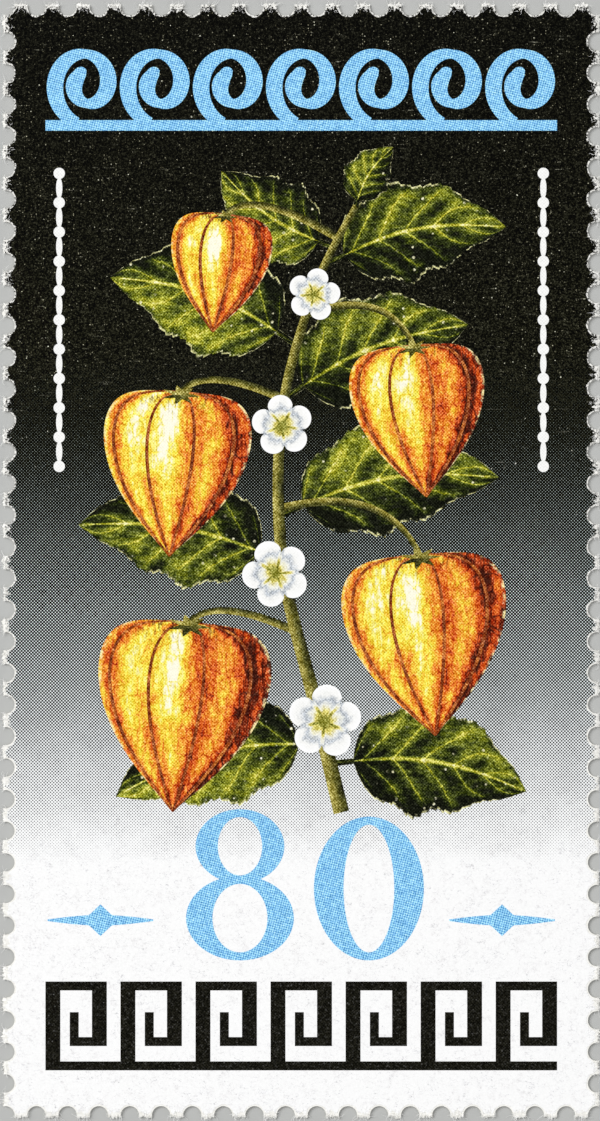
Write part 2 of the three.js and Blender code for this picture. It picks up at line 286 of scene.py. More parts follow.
def ink_top(passes=1.0):
    """The top of so many passes of ink over the coating."""
    return face_height() + Settings("print").ink * passes


def finish_piece(name, bm, material, node=None):
    """Turns a bmesh in millimetres into a finished piece, which may stand for a CAD node."""
    bmesh.ops.recalc_face_normals(bm, faces=bm.faces)
    bmesh.ops.scale(bm, vec=(MM, MM, MM), verts=bm.verts)
    mesh = bpy.data.meshes.new(name)
    bm.to_mesh(mesh)
    bm.free()
    piece = bpy.data.objects.new(name, mesh)
    bpy.context.scene.collection.objects.link(piece)
    mesh.materials.append(material)
    if node:
        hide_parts(node)
    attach(piece, BODY)


def print_piece(name, shapes, material, node):
    """Makes a printed piece of shapes: a layout, a grid, passes of ink and a foot, if it has one."""
    bm = bmesh.new()
    for shape in shapes:
        add_patch(bm, *shape)
    finish_piece(name, bm, material, node)


def print_node(node, shapes, material):
    """Makes the one printed piece that stands for a node."""
    print_piece(node + "_print", shapes, material, node)


def add_patch(bm, place, grid, passes, foot=None):
    """Adds a printed shape: a grid laid out by `place`, cut off below `foot` and drawn up."""
    columns, rows = grid
    low = face_height()
    paint = bm.loops.layers.uv.get(PAINT) or bm.loops.layers.uv.new(PAINT)
    old = {*bm.verts, *bm.edges, *bm.faces}
    bmesh.ops.create_grid(bm, x_segments=columns, y_segments=rows, size=1)
    for loop in (loop for face in bm.faces if face not in old for loop in face.loops):
        loop[paint].uv = ((loop.vert.co.x + 1) / 2, (loop.vert.co.y + 1) / 2)
    verts = [v for v in bm.verts if v not in old]
    for vert in verts:
        spot = place(vert.co.x, (vert.co.y + 1) / 2)
        vert.co = (spot.x, spot.y, low)
    bmesh.ops.remove_doubles(bm, verts=verts, dist=1e-4)
    if foot is not None:
        bmesh.ops.bisect_plane(
            bm, geom=fresh(bm, old), plane_co=(0, foot, low), plane_no=(0, -1, 0), clear_outer=True
        )
    thicken(bm, fresh(bm, old), ink_top(passes))


def thicken(bm, geom, high):
    """Draws a flat patch up into a closed solid."""
    drawn = bmesh.ops.extrude_face_region(bm, geom=geom, use_keep_orig=True)
    for item in drawn["geom"]:
        if isinstance(item, bmesh.types.BMVert):
            item.co.z = high


def fresh(bm, old):
    """What has been added to a bmesh since `old` was listed."""
    return [item for items in (bm.verts, bm.edges, bm.faces) for item in items if item not in old]


def ring_place(centre, outer, inner):
    """Maps a grid onto a ring: u runs round it and v from its outer edge to its inner one."""
    def place(u, v):
        half = Vector((mix(outer[0], inner[0], v), mix(outer[1], inner[1], v)))
        angle = math.pi * u
        return Vector(centre) + Vector((half.x * math.cos(angle), half.y * math.sin(angle)))
    return place


def disc_place(centre, half):
    return ring_place(centre, half, (0.0, 0.0))


def box_place(left, foot, width, height):
    def place(u, v):
        return Vector((left + width * (u + 1) / 2, foot + height * v))
    return place


# ---- The perforated outline ----


def bites():
    """Every punched hole, counter-clockwise from the lower left: centre, inward angle, half angle."""
    sheet = Settings("sheet")
    half_width = sheet.row_width / 2
    gaps = sheet.gaps_across
    xs = [-half_width + i * 2 * half_width / gaps for i in range(1, gaps)]
    foot = -(sheet.top_gap + sheet.bottom_gap + sheet.gaps_up * sheet.pitch_up) / 2
    first = foot + sheet.bottom_gap
    ys = [first + i * sheet.pitch_up for i in range(sheet.gaps_up + 1)]
    corners = [(-half_width, foot), (half_width, foot), (half_width, -foot), (-half_width, -foot)]
    rows = [
        [(x, foot) for x in xs],
        [(half_width, y) for y in ys],
        [(x, -foot) for x in reversed(xs)],
        [(-half_width, y) for y in reversed(ys)],
    ]
    quarter = math.pi / 2
    found = []
    for side, (corner, row) in enumerate(zip(corners, rows)):
        found.append((corner, (side + 0.5) * quarter, quarter / 2))
        found += [(place, (side + 1) * quarter, quarter) for place in row]
    return found


def uneven(place, scale, seed):
    """Smooth noise from -1 to 1 at a place on the sheet."""
    return noise.noise(Vector((place.x * scale, place.y * scale, seed)))


def rim(tip, radius, chip=0.0, ragged=0.0, seed=0.0):
    """The perforated outline: points round a hole, along the tooth after it, and so on round."""
    lean = math.asin(max(-0.99, min(0.99, tip / radius)))
    arcs = []
    for centre, inward, half in bites():
        middle = Vector(centre)
        turn = half + lean
        arc = []
        for i in range(ARC_POINTS):
            angle = inward + turn - 2 * turn * i / (ARC_POINTS - 1)
            out = Vector((math.cos(angle), math.sin(angle)))
            spot = middle + out * radius
            arc.append(spot + out * chip * uneven(spot, CHIP_WAVES, seed))
        arcs.append(arc)
    points = []
    for arc, following in zip(arcs, arcs[1:] + arcs[:1]):
        points += arc
        start = arc[-1]
        run = following[0] - start
        out = Vector((run.y, -run.x)).normalized()
        for i in range(1, TEAR_POINTS + 1):
            t = i / (TEAR_POINTS + 1)
            spot = start + run * t
            rough = sum(share * uneven(spot, fine, seed + fine) for fine, share in ROUGHNESS)
            points.append(spot + out * ragged * rough * min(1.0, 6 * t * (1 - t)))
    return points


def add_rings(bm, rings):
    """Stacks closed rings, each of as many points and at its own height, into one solid."""
    points, height = rings[0]
    base = [bm.verts.new((p.x, p.y, height)) for p in points]
    edges = [bm.edges.new((v, base[(i + 1) % len(base)])) for i, v in enumerate(base)]
    bm.faces.new(list(reversed(base)))
    for points, height in rings[1:]:
        made = bmesh.ops.extrude_edge_only(bm, edges=edges)["geom"]
        edges = [g for g in made if isinstance(g, bmesh.types.BMEdge) and g.is_boundary]
        base = ring_order(edges, base)
        for vert, p in zip(base, points):
            vert.co = (p.x, p.y, height)
    bm.faces.new(base)


def ring_order(edges, base):
    """The new ring's corners in the order of the ring that they were drawn out of."""
    known = {v for e in edges for v in e.verts}
    order = []
    for old in base:
        order.append(next(e.other_vert(old) for e in old.link_edges if e.other_vert(old) in known))
    return order


# ---- Finishes ----


def operation(name):
    """A wire's method that adds one Math node."""
    def method(wire, *others):
        return wire.make.math(name, wire, *others)
    return method


class Wire:
    """What comes out of a node: its methods add the next one."""

    def __init__(self, make, socket):
        self.make = make
        self.socket = socket

    __add__ = operation("ADD")
    __sub__ = operation("SUBTRACT")
    __mul__ = operation("MULTIPLY")
    __pow__ = operation("POWER")
    __abs__ = operation("ABSOLUTE")
    cosine = operation("COSINE")
    arcsine = operation("ARCSINE")
    least = operation("MINIMUM")

    def __rsub__(self, other):
        return self.make.math("SUBTRACT", other, self)

    def sway(self, amount):
        """A 0 to 1 pattern as a shift up and down, nothing on average."""
        return self * (2 * amount) - amount

    def between(self, low, high, out_low=0.0, out_high=1.0, smooth=True):
        """Where a value lies on a scale from low to high, clamped at both ends."""
        names = ("Value", "From Min", "From Max", "To Min", "To Max")
        inputs = dict(zip(names, (self, low, high, out_low, out_high)))
        curve = "SMOOTHSTEP" if smooth else "LINEAR"
        return self.make.wire("ShaderNodeMapRange", inputs, interpolation_type=curve)

    def ramp(self, stops):
        """A colour for a value, from positions and their #rrggbb."""
        made = self.make.node("ShaderNodeValToRGB", {0: self})
        band = made.color_ramp
        while len(band.elements) < len(stops):
            band.elements.new(1.0)
        for element, (place, colour) in zip(band.elements, stops.items()):
            element.position = place
            element.color = (*linear(colour), 1.0)
        return Wire(self.make, made.outputs[0])


class Recipe:
    """A material in the making: each call adds a node or two and returns what comes out."""

    def __init__(self, name, roughness=0.5, specular=0.04):
        self.material = bpy.data.materials.new(name)
        self.material.use_nodes = True
        self.tree = self.material.node_tree
        self.shader = self.tree.nodes["Principled BSDF"]
        self.shader.inputs["Roughness"].default_value = roughness
        self.shader.inputs["Specular IOR Level"].default_value = specular
        self.object_place = self.wire("ShaderNodeTexCoord", {}, "Object")

    def feed(self, socket, value):
        """Links a wire to a socket, or sets the socket to a number, a colour or a #rrggbb."""
        if isinstance(value, Wire):
            self.tree.links.new(value.socket, socket)
            return
        if isinstance(value, str):
            value = linear(value)
        socket.default_value = (*value, 1.0) if socket.type == "RGBA" else value

    def node(self, kind, inputs, **values):
        """A new node, with its inputs fed by name or by number."""
        made = self.tree.nodes.new(kind)
        for name, value in values.items():
            setattr(made, name, value)
        for key, value in inputs.items():
            self.feed(made.inputs[key], value)
        return made

    def wire(self, kind, inputs, output=0, **values):
        return Wire(self, self.node(kind, inputs, **values).outputs[output])

    def math(self, kind, *values, clamp=False):
        return self.wire("ShaderNodeMath", dict(enumerate(values)), operation=kind, use_clamp=clamp)

    def sheet(self, stretch=(1.0, 1.0, 1.0), turn=0.0):
        """Places on the sheet in millimetres, stretched and turned for a pattern."""
        return self.wire("ShaderNodeMapping", {
            "Vector": self.object_place,
            "Rotation": (0.0, 0.0, math.radians(turn)),
            "Scale": tuple(s / MM for s in stretch),
        })

    def split(self, whole):
        """The three parts of a place or of a colour."""
        kind = "ShaderNodeSeparateColor" if whole.socket.type == "RGBA" else "ShaderNodeSeparateXYZ"
        return [Wire(self, socket) for socket in self.node(kind, {0: whole}).outputs[:3]]

    def paint(self):
        """Places on a painted piece: -1 to 1 across it and 0 to 1 along it."""
        u, v, _ = self.split(self.wire("ShaderNodeUVMap", {}, uv_map=PAINT))
        return u * 2.0 - 1.0, v

    def noise(self, scale, detail=2.0, roughness=0.5, stretch=(1.0, 1.0, 1.0), turn=0.0):
        """Clouds from 0 to 1 on the sheet, `scale` of them in a millimetre."""
        inputs = {"Scale": scale, "Detail": detail, "Roughness": roughness}
        return self.wire("ShaderNodeTexNoise", {"Vector": self.sheet(stretch, turn), **inputs}, "Fac")

    def net(self, scale, stretch, turn):
        """How far places on the sheet are from the lines of a net of cells."""
        inputs = {"Vector": self.sheet(stretch, turn), "Scale": scale}
        return self.wire("ShaderNodeTexVoronoi", inputs, "Distance", feature="DISTANCE_TO_EDGE")

    def blend(self, share, first, second, mode="MIX"):
        made = self.node("ShaderNodeMix", {0: share}, data_type="RGBA", blend_type=mode)
        for socket, colour in zip((s for s in made.inputs if s.type == "RGBA"), (first, second)):
            self.feed(socket, colour)
        return Wire(self, next(s for s in made.outputs if s.type == "RGBA"))

    def screen(self, turn):
        """A halftone screen at an angle, with uneven dots: -1 to 1, nothing on average."""
        x, y, _ = self.split(self.sheet(turn=turn))
        beat = 2 * math.pi * Settings("print").lines
        dots = ((x * beat).cosine() + (y * beat).cosine()) * 0.5
        return dots + self.noise(GRAIN, 2.0, 0.8).sway(0.35)

    def dotted(self, clear):
        """The ink of a screen of hard dots that leave a share of the paper clear."""
        lean = clear * 2.0 - 1.0
        # This curve is where the screen's two waves must be cut to leave that share.
        edge = lean * (lean * lean * 0.38 + 0.68)
        return self.screen(SCREEN_TURN).between(edge - DOT_SOFT, edge + DOT_SOFT)

    def pressed(self, colour, dots, grain, turn=SCREEN_TURN):
        """A colour as a press lays it down: dots and grain, deepest in the middle tones."""
        seen = [channel ** (1 / GAMMA) for channel in self.split(colour)]
        tone = (seen[0] + seen[1] + seen[2]) * (1 / 3)
        room = tone * (tone * -4.0 + 4.0)
        pattern = self.noise(GRAIN, 2.0, 0.9).sway(1.0) * grain
        if dots:
            pattern += self.screen(turn) * dots
        shifted = [self.math("MULTIPLY_ADD", room, pattern, channel, clamp=True) for channel in seen]
        inputs = {i: channel**GAMMA for i, channel in enumerate(shifted)}
        return self.wire("ShaderNodeCombineColor", inputs)

    def specks(self, colour, scale, size, share, speck_colour, where=1.0):
        """Specks of another colour in a share of the cells, of uneven strength."""
        cell = self.node("ShaderNodeTexVoronoi", {"Vector": self.sheet(), "Scale": scale})
        near = Wire(self, cell.outputs["Distance"]).between(size, size * 0.5)
        pick = self.split(Wire(self, cell.outputs["Color"]))[0]
        strength = pick.between(share, 0.0, 0.0, where, smooth=False)
        return self.blend(near * strength, colour, speck_colour)

    def relief(self, height, strength, depth):
        """Fine bumps, of a depth in millimetres."""
        inputs = {"Height": height, "Strength": strength, "Distance": depth * MM}
        self.feed(self.shader.inputs["Normal"], self.wire("ShaderNodeBump", inputs))

    def done(self, colour):
        self.feed(self.shader.inputs["Base Color"], colour)
        return self.material


def paper_finish():
    """Bare paper: white and matt, a web of fibres, with bits of the print left on its upper side."""
    make = Recipe("bare_paper", 0.85, 0.1)
    along = make.noise(1.0, 3.0, 0.6, (3.0, 14.0, 3.0), 12)
    web = along * make.noise(1.0, 3.0, 0.6, (13.0, 3.0, 3.0), -9)
    make.relief(web, 0.5, 0.02)
    white = web.ramp({0.1: "#e9e7e0", 0.35: "#fdfcf8"})
    _, y, z = make.split(make.sheet())
    top = Settings("sheet").gum + Settings("sheet").paper
    upper = z.between(top - 0.01, top - 0.004)
    inks = Settings("print")
    printed = y.between(inks.white_from, inks.dark_until)
    bits = make.noise(9.0, 2.0, 0.7).between(0.44, 0.6)
    return make.done(make.blend(bits * printed * upper, white, inks.dark))


def fibre_finish():
    make = Recipe("torn_fibre", 0.7, 0.2)
    return make.done(make.noise(6.0).ramp({0.3: "#efeee9", 0.6: "#ffffff"}))


def gum_finish():
    """Dried gum: cream and half glossy, with a fine cockle and the dark print faintly behind it."""
    make = Recipe("dried_gum", 0.32, 0.45)
    inks = Settings("print")
    behind = make.split(make.sheet())[1].between(inks.white_from, inks.dark_until)
    cream = make.noise(0.25, 4.0, 0.6).ramp({0.3: "#d9d3bd", 0.7: "#e6e1cf"})
    cracks = make.net(0.8, (1.0, 0.35, 1.0), 8).between(0.0, 0.02)
    make.relief(cracks * 0.2 + make.noise(3.0, 4.0, 0.6), 0.35, 0.03)
    return make.done(make.blend(behind * 0.22, cream, "#8f8b7a"))


def ground_finish():
    """The printed ground: near black at the top, a fade in hard dots, then the white of the coating."""
    make = Recipe("printed_ground", 0.55)
    inks = Settings("print")
    y = make.split(make.sheet())[1]
    fade = y.between(inks.dark_until, inks.white_from, smooth=False)
    height = y.between(SHEET_TOP, inks.dark_until, smooth=False)
    dark = make.blend(height, inks.deep, inks.dark)
    cast = fade.ramp({0.0: "#f2fff2", 0.4: "#f0fffe", 0.75: "#fafeff", 1.0: "#ffffff"})
    light = make.blend(1.0, cast, inks.light, "MULTIPLY")
    # The fade is even to the eye, so it is worked out there and then turned into linear light.
    low = max(inks.dark) ** (1 / GAMMA)
    clear = (fade**FADE_BEND * (1 - low) + low) ** GAMMA - low**GAMMA
    clear *= make.noise(0.5, 4.0, 0.6).sway(0.15) + 1.0
    ink = make.dotted(clear) * fade.between(1.0, 0.96)
    colour = make.blend((1.0 - ink) * fade.between(0.0, 0.05), dark, light)
    inked = fade.between(0.85, 0.1)
    colour = make.specks(colour, 9.0, 0.3, 0.45, "#4a4636", fade.between(0.15, 0.0))
    colour = make.specks(colour, 5.0, 0.16, 0.2, "#a5a498", inked)
    colour = make.specks(colour, 0.9, 0.045, 0.6, "#f2f2ea", inked)
    streaks = make.noise(1.0, 1.0, stretch=(0.7, 14.0, 1.0)).between(0.7, 0.8, 0.0, 0.2)
    colour = make.blend(streaks * inked, colour, "#77756a")
    bare = 1.0 - inked
    clouds = make.noise(2.6, 4.0, 0.75).between(0.5, 0.3, 0.0, 0.45)
    colour = make.blend(clouds * bare, colour, "#ebe9ea", "MULTIPLY")
    for turn, scale in ((20, 2.2), (-55, 3.1)):
        ridge = abs(make.noise(scale, stretch=(1.0, 1.6, 1.0), turn=turn) - 0.5)
        thread = ridge.between(0.016, 0.0)
        patch = make.noise(scale * 0.7, 3.0).between(0.46, 0.6, 0.0, 0.4)
        colour = make.blend(thread * bare * patch, colour, "#b6b6be", "MULTIPLY")
    make.relief(make.noise(5.0, 3.0), 0.15, 0.01)
    printed = make.pressed(colour, 0.0, fade.between(0.0, 0.2, 2.3, 1.0))
    # The black is a warm one, down to its palest specks.
    warm = make.blend(fade.between(0.0, 0.3), "#ffffec", "#ffffff")
    return make.done(make.blend(1.0, printed, warm, "MULTIPLY"))


def flat_ink_finish(name, colour, turn, dots, grain, bare):
    """One ink over the coating, with a fine screen and cover that is bare in places."""
    make = Recipe(name)
    patchy = make.noise(7.0, 3.0, 0.75)
    make.relief(patchy, 0.15, 0.008)
    cover = make.blend(patchy.between(0.5, 0.85, 0.0, bare), colour, "#ffffff")
    return make.done(make.pressed(cover, dots, grain, turn))


@functools.cache
def blue_ink():
    return flat_ink_finish("blue_ink", Settings("print").blue, BLUE_TURN, 0.3, 0.6, 0.12)


@functools.cache
def white_print():
    """The coating left clear, in the shape of the beads."""
    return flat_ink_finish("clear_white", Settings("print").white, SCREEN_TURN, 0.3, 0.6, 0.3)


def black_ink():
    return flat_ink_finish("black_ink", Settings("print").black, SCREEN_TURN, 0.1, 0.8, 0.05)


def leaf_finish(name, sunny):
    """A painted leaf: lit on one side of its rib, quilted between its veins, pale at its very edge."""
    make = Recipe(name)
    u, v = make.paint()
    off = abs(u)
    quilt = ((v * 6.5 - off * 1.6) * (2 * math.pi)).cosine()
    tone = u.between(-0.9, 0.9, 0.13, 0.13 + 0.38 * sunny) + quilt * 0.085
    tone += make.noise(0.8, 4.0, 0.6).sway(0.4)
    tone += make.noise(2.2, 3.0, 0.7, (1.0, 2.4, 1.0), 30).sway(0.34)
    tone -= off.between(0.72, 1.0, 0.04, 0.24)
    tone -= v.between(0.38, 0.05, 0.0, 0.25)
    tone += off.between(0.07, 0.0, 0.0, 0.5)
    tone += quilt.between(0.93, 1.0, 0.0, 0.24) * off.between(0.95, 0.6)
    colour = tone.ramp({
        0.0: "#0f1206", 0.12: "#222a07", 0.26: "#46500c", 0.34: "#666e12",
        0.46: "#858a18", 0.54: "#a4a422", 0.66: "#c0b938", 0.8: "#d8d266", 1.0: "#f2edb0",
    })
    colour = make.specks(colour, 2.1, 0.17, 0.6, "#eeeabf")
    broken = make.noise(2.0, 3.0, 0.7).between(0.42, 0.6)
    edge = off.between(0.94, 0.985) * broken
    return make.done(make.pressed(make.blend(edge, colour, "#dedb9c"), 0.16, 0.9))


@functools.cache
def stem_finish():
    make = Recipe("painted_stem")
    u, _ = make.paint()
    tone = u.between(-1.0, 0.8, 0.1, 0.62) + make.noise(1.3, 3.0, 0.6).sway(0.4)
    colour = tone.ramp({
        0.0: "#1f200b", 0.3: "#575519", 0.55: "#8e8434", 0.8: "#c3b760", 1.0: "#ece2a6",
    })
    return make.done(make.pressed(colour, 0.16, 0.8))


def lantern_finish(name, warmth):
    """A painted papery lantern: glowing panels between dark ribs, a net of veins, a dashed top."""
    make = Recipe(name)
    u, v = make.paint()
    round_about = (u * 0.999).arcsine()
    from_ribs = [abs(round_about - math.radians(degrees)) for degrees in Sprig.ribs]
    nearest = functools.reduce(Wire.least, from_ribs)
    tone = (round_about + 0.45).cosine() * 0.5 + (warmth - 0.04)
    tone += nearest.between(0.02, 0.3, 0.0, 0.3)
    tone += make.noise(0.9, 4.0, 0.65).sway(0.32)
    tone += make.noise(1.3, 3.0, 0.7, (4.0, 0.8, 1.0)).sway(0.36)
    tone -= v.between(0.55, 1.0, 0.0, 0.32)
    tone -= make.net(2.2, (1.0, 0.6, 1.0), 10).between(0.09, 0.0, 0.0, 0.12)
    aside = u * 2.4 + 0.8
    below = v * 4.0 - 1.3
    tone += (aside * aside + below * below).between(1.0, 0.0, 0.0, 0.3)
    colour = tone.ramp({
        0.0: "#3d1206", 0.12: "#7d2708", 0.2: "#c44410", 0.31: "#d95f16",
        0.37: "#ee8326", 0.49: "#f59b2e", 0.55: "#fbbf3a", 0.67: "#fdd13d",
        0.73: "#ffe94a", 0.84: "#fff08a", 0.94: "#fffbe4",
    })
    dashes = make.noise(1.6, 1.0, stretch=(5.0, 1.6, 1.0)).between(0.56, 0.62)
    colour = make.blend(dashes * v.between(0.28, 0.1, 0.0, 0.8), colour, "#5f2a0c")
    broken = make.noise(2.4, 3.0, 0.7).between(0.45, 0.62)
    edge = abs(u).between(0.95, 0.985) * broken
    return make.done(make.pressed(make.blend(edge, colour, "#ffe9a8"), 0.13, 0.75))


def rib_finish():
    make = Recipe("painted_rib")
    wash = make.noise(2.5, 3.0, 0.7, (1.0, 0.7, 1.0))
    colour = wash.ramp({0.3: "#5a1f08", 0.5: "#98481a", 0.66: "#d07a30"})
    return make.done(make.pressed(colour, 0.14, 0.7))


def blossom_finish():
    """White petals with grey-blue folds between them and a yellow-green eye."""
    make = Recipe("painted_blossom")
    u, v = make.paint()
    fold = abs((u * (Sprig.lobes * math.pi / 2)).cosine())
    tone = v + fold.between(0.5, 0.0, 0.0, 0.36) + make.noise(1.6, 4.0, 0.7).sway(0.3)
    colour = tone.ramp({
        0.0: "#ffffff", 0.26: "#f7f7f4", 0.42: "#b9c0c8", 0.56: "#f2f2e8",
        0.72: "#dccf6a", 0.9: "#85842a",
    })
    return make.done(make.pressed(colour, 0.14, 0.7))


def floor_finish():
    make = Recipe("pale_table", 0.75, 0.2)
    grain = make.noise(0.6, 4.0, 0.6).between(0.3, 0.7)
    floor = Vector(Settings("stage").floor)
    return make.done(make.blend(grain, floor * 0.96, floor))


# ---- Operators ----


class StampOperator:
    bl_options = {"REGISTER", "UNDO"}

    def execute(self, context):
        self.make()
        return {"FINISHED"}


class STAMP_OT_make_sheet(StampOperator, bpy.types.Operator):
    """Makes the paper, peeled back and ragged at its torn teeth, and the gum under it"""

    bl_idname = "stamp.make_sheet"
    bl_label = "Paper and gum"

    widest = 0.45  # height of the paper's widest ring, as a share of its thickness

    def make(self):
        sheet = Settings("sheet")
        top = sheet.gum + sheet.paper
        # The sheet is widest near its middle: cut short below, and peeled back above.
        foot = self.ring(sheet, cut=0.5, wider=0.01, seed=1)
        low = self.ring(sheet, cut=0.4, seed=1)
        middle = self.ring(sheet, cut=0.0, chip=0.006, rough=1.4, seed=2)
        high = self.ring(sheet, cut=1.0, wider=0.006, chip=0.008, seed=3)
        bm = bmesh.new()
        belt = mix(sheet.gum, top, self.widest)
        add_rings(bm, [(low, sheet.gum), (middle, belt), (high, top)])
        finish_piece("paper", bm, paper_finish(), "paper_sheet")
        bm = bmesh.new()
        add_rings(bm, [(foot, 0.0), (low, sheet.gum)])
        finish_piece("gum", bm, gum_finish(), "gum_film")

    def ring(self, sheet, cut, seed, wider=0.0, chip=0.0, rough=1.0):
        """The outline, its teeth cut short by a share of the feather and its holes made wider."""
        tip = sheet.tear - cut * sheet.feather
        return rim(tip, sheet.hole_radius + wider, chip, rough * sheet.ragged, seed)


class STAMP_OT_make_fibres(StampOperator, bpy.types.Operator):
    """Makes the fibres that stand out of the torn teeth"""

    bl_idname = "stamp.make_fibres"
    bl_label = "Torn fibres"

    seed = 11
    steps = 5  # straight runs in a fibre
    root = 0.02  # how far inside the torn edge the teeth are rooted
    along = (-0.12, 1.12)  # where on a tooth, as a share of its width
    lying = 0.4  # share of the fibres that lie back over the print
    # Of those: how far in they start, their height over the print, their rise and share of length
    lying_in = (0.02, 0.36)
    lying_height = (0.003, 0.012)
    lying_rise = (0.0, 0.02)
    lying_reach = (0.15, 0.5)
    # The same of those that stand out, with heights in thicknesses of the paper
    standing_in = (0.0, 0.12)
    standing_height = (0.3, 1.1)
    standing_rise = (-0.4, 0.5)
    standing_reach = (0.2, 1.0)
    fewer_long = 1.3  # over 1, few reach far
    fan = 0.9  # radians, how far they turn aside
    bend = 1.6  # radians, how far any fibre curls
    thickness = (0.45, 1.0)  # share of the thickest
    taper = 0.6  # share of it that is lost on the way to a fibre's tip

    def make(self):
        draw = random.Random(self.seed)
        sheet = Settings("sheet")
        outline = rim(sheet.tear - self.root, sheet.hole_radius)
        curve = bpy.data.curves.new("torn_fibres", "CURVE")
        curve.dimensions = "3D"
        curve.bevel_depth = sheet.fibre_radius * MM
        curve.bevel_resolution = 0
        curve.use_fill_caps = True
        for end in range(ARC_POINTS + TEAR_POINTS, len(outline) + 1, ARC_POINTS + TEAR_POINTS):
            self.fray(curve, outline[end - TEAR_POINTS:end], sheet, draw)
        shape = bpy.data.objects.new("torn_fibres", curve)
        mesh = bpy.data.meshes.new_from_object(shape)
        bpy.data.objects.remove(shape)
        bm = bmesh.new()
        bm.from_mesh(mesh)
        bmesh.ops.scale(bm, vec=(1 / MM,) * 3, verts=bm.verts)
        finish_piece("torn_fibres", bm, fibre_finish())

    def fray(self, curve, tooth, sheet, draw):
        """Fibres out of one torn tooth: most point outwards, and some lie back over the print."""
        run = tooth[-1] - tooth[0]
        out = Vector((run.y, -run.x)).normalized()
        for _ in range(sheet.fibres):
            edge = tooth[0] + run * draw.uniform(*self.along)
            if draw.random() < self.lying:
                start = edge - out * draw.uniform(*self.lying_in)
                heading = draw.uniform(0.0, 2 * math.pi)
                height = face_height() + draw.uniform(*self.lying_height)
                rise = draw.uniform(*self.lying_rise)
                reach = sheet.fibre_length * draw.uniform(*self.lying_reach)
            else:
                start = edge - out * draw.uniform(*self.standing_in)
                heading = math.atan2(out.y, out.x) + draw.gauss(0.0, self.fan)
                height = sheet.gum + draw.uniform(*self.standing_height) * sheet.paper
                rise = draw.uniform(*self.standing_rise) * sheet.paper
                reach = sheet.fibre_length * draw.uniform(*self.standing_reach) ** self.fewer_long
            place = Vector((start.x, start.y, height))
            self.strand(curve, place, heading, reach, rise, sheet.fibre_radius, draw)

    def strand(self, curve, place, heading, reach, rise, radius, draw):
        """One bent and tapered fibre, which stays above the table."""
        bend = draw.gauss(0.0, self.bend)
        thick = draw.uniform(*self.thickness)
        step = reach / self.steps
        line = curve.splines.new("POLY")
        line.points.add(self.steps)
        for i, point in enumerate(line.points):
            share = i / self.steps
            point.co = (*(place * MM), 1.0)
            point.radius = thick * (1.0 - self.taper * share)
            angle = heading + bend * share
            place += Vector((math.cos(angle) * step, math.sin(angle) * step, rise / self.steps))
            place.z = max(place.z, radius)


class STAMP_OT_make_face(StampOperator, bpy.types.Operator):
    """Makes the coated face with its printed ground, chipped round the holes and at the teeth"""

    bl_idname = "stamp.make_face"
    bl_label = "Printed face"

    rough = {"chip": 0.05, "ragged": 0.17, "seed": 21}
    # How far the coating's edge slopes in as it rises, at the teeth and round the holes
    tip_slope = 0.03
    hole_slope = 0.015

    def make(self):
        sheet = Settings("sheet")
        tip = sheet.tear - sheet.chipped_tip
        radius = sheet.hole_radius + sheet.chipped_rim
        below = rim(tip + self.tip_slope, radius - self.hole_slope, **self.rough)
        above = rim(tip, radius, **self.rough)
        bm = bmesh.new()
        add_rings(bm, [(below, face_height() - sheet.coating), (above, face_height())])
        finish_piece("face", bm, ground_finish(), "printed_face")


class STAMP_OT_make_scroll(StampOperator, bpy.types.Operator):
    """Makes the wave scroll along the top"""

    bl_idname = "stamp.make_scroll"
    bl_label = "Wave scroll"

    late = 0.75  # where along a curl its radius is taken, to measure lengths near its ball

    def make(self):
        b = Settings("borders")
        bar = box_place(-b.half, b.scroll_foot, 2 * b.half, b.scroll_bar)
        shapes = [(bar, BAR_GRID, 1.0)]
        for i in range(b.units):
            x = -b.half + (i + b.eye_share) * 2 * b.half / b.units
            eye = Vector((x, b.scroll_foot + b.eye))
            shapes.append((self.curl(b, eye), CURL_GRID, 1.0, b.scroll_foot + b.scroll_bar))
        print_node("wave_scroll", shapes, blue_ink())

    def curl(self, b, eye):
        """One curl, which ends in a ball."""
        run = 2 * math.pi * b.turns
        line_length = run * mix(b.start, b.end, self.late)

        def place_at(t):
            turn = b.lean - run * t
            return eye + Vector((b.squeeze * math.cos(turn), math.sin(turn))) * mix(b.start, b.end, t)

        def width_at(t):
            line = b.thin + b.swell * abs(math.cos(b.lean - run * t))
            from_end = (1 - t) * line_length - b.ball
            ball = 2 * math.sqrt(max(0.0, b.ball**2 - from_end**2))
            return max(ball, line if from_end > 0 else 0.0)
        return strip_place(place_at, width_at)


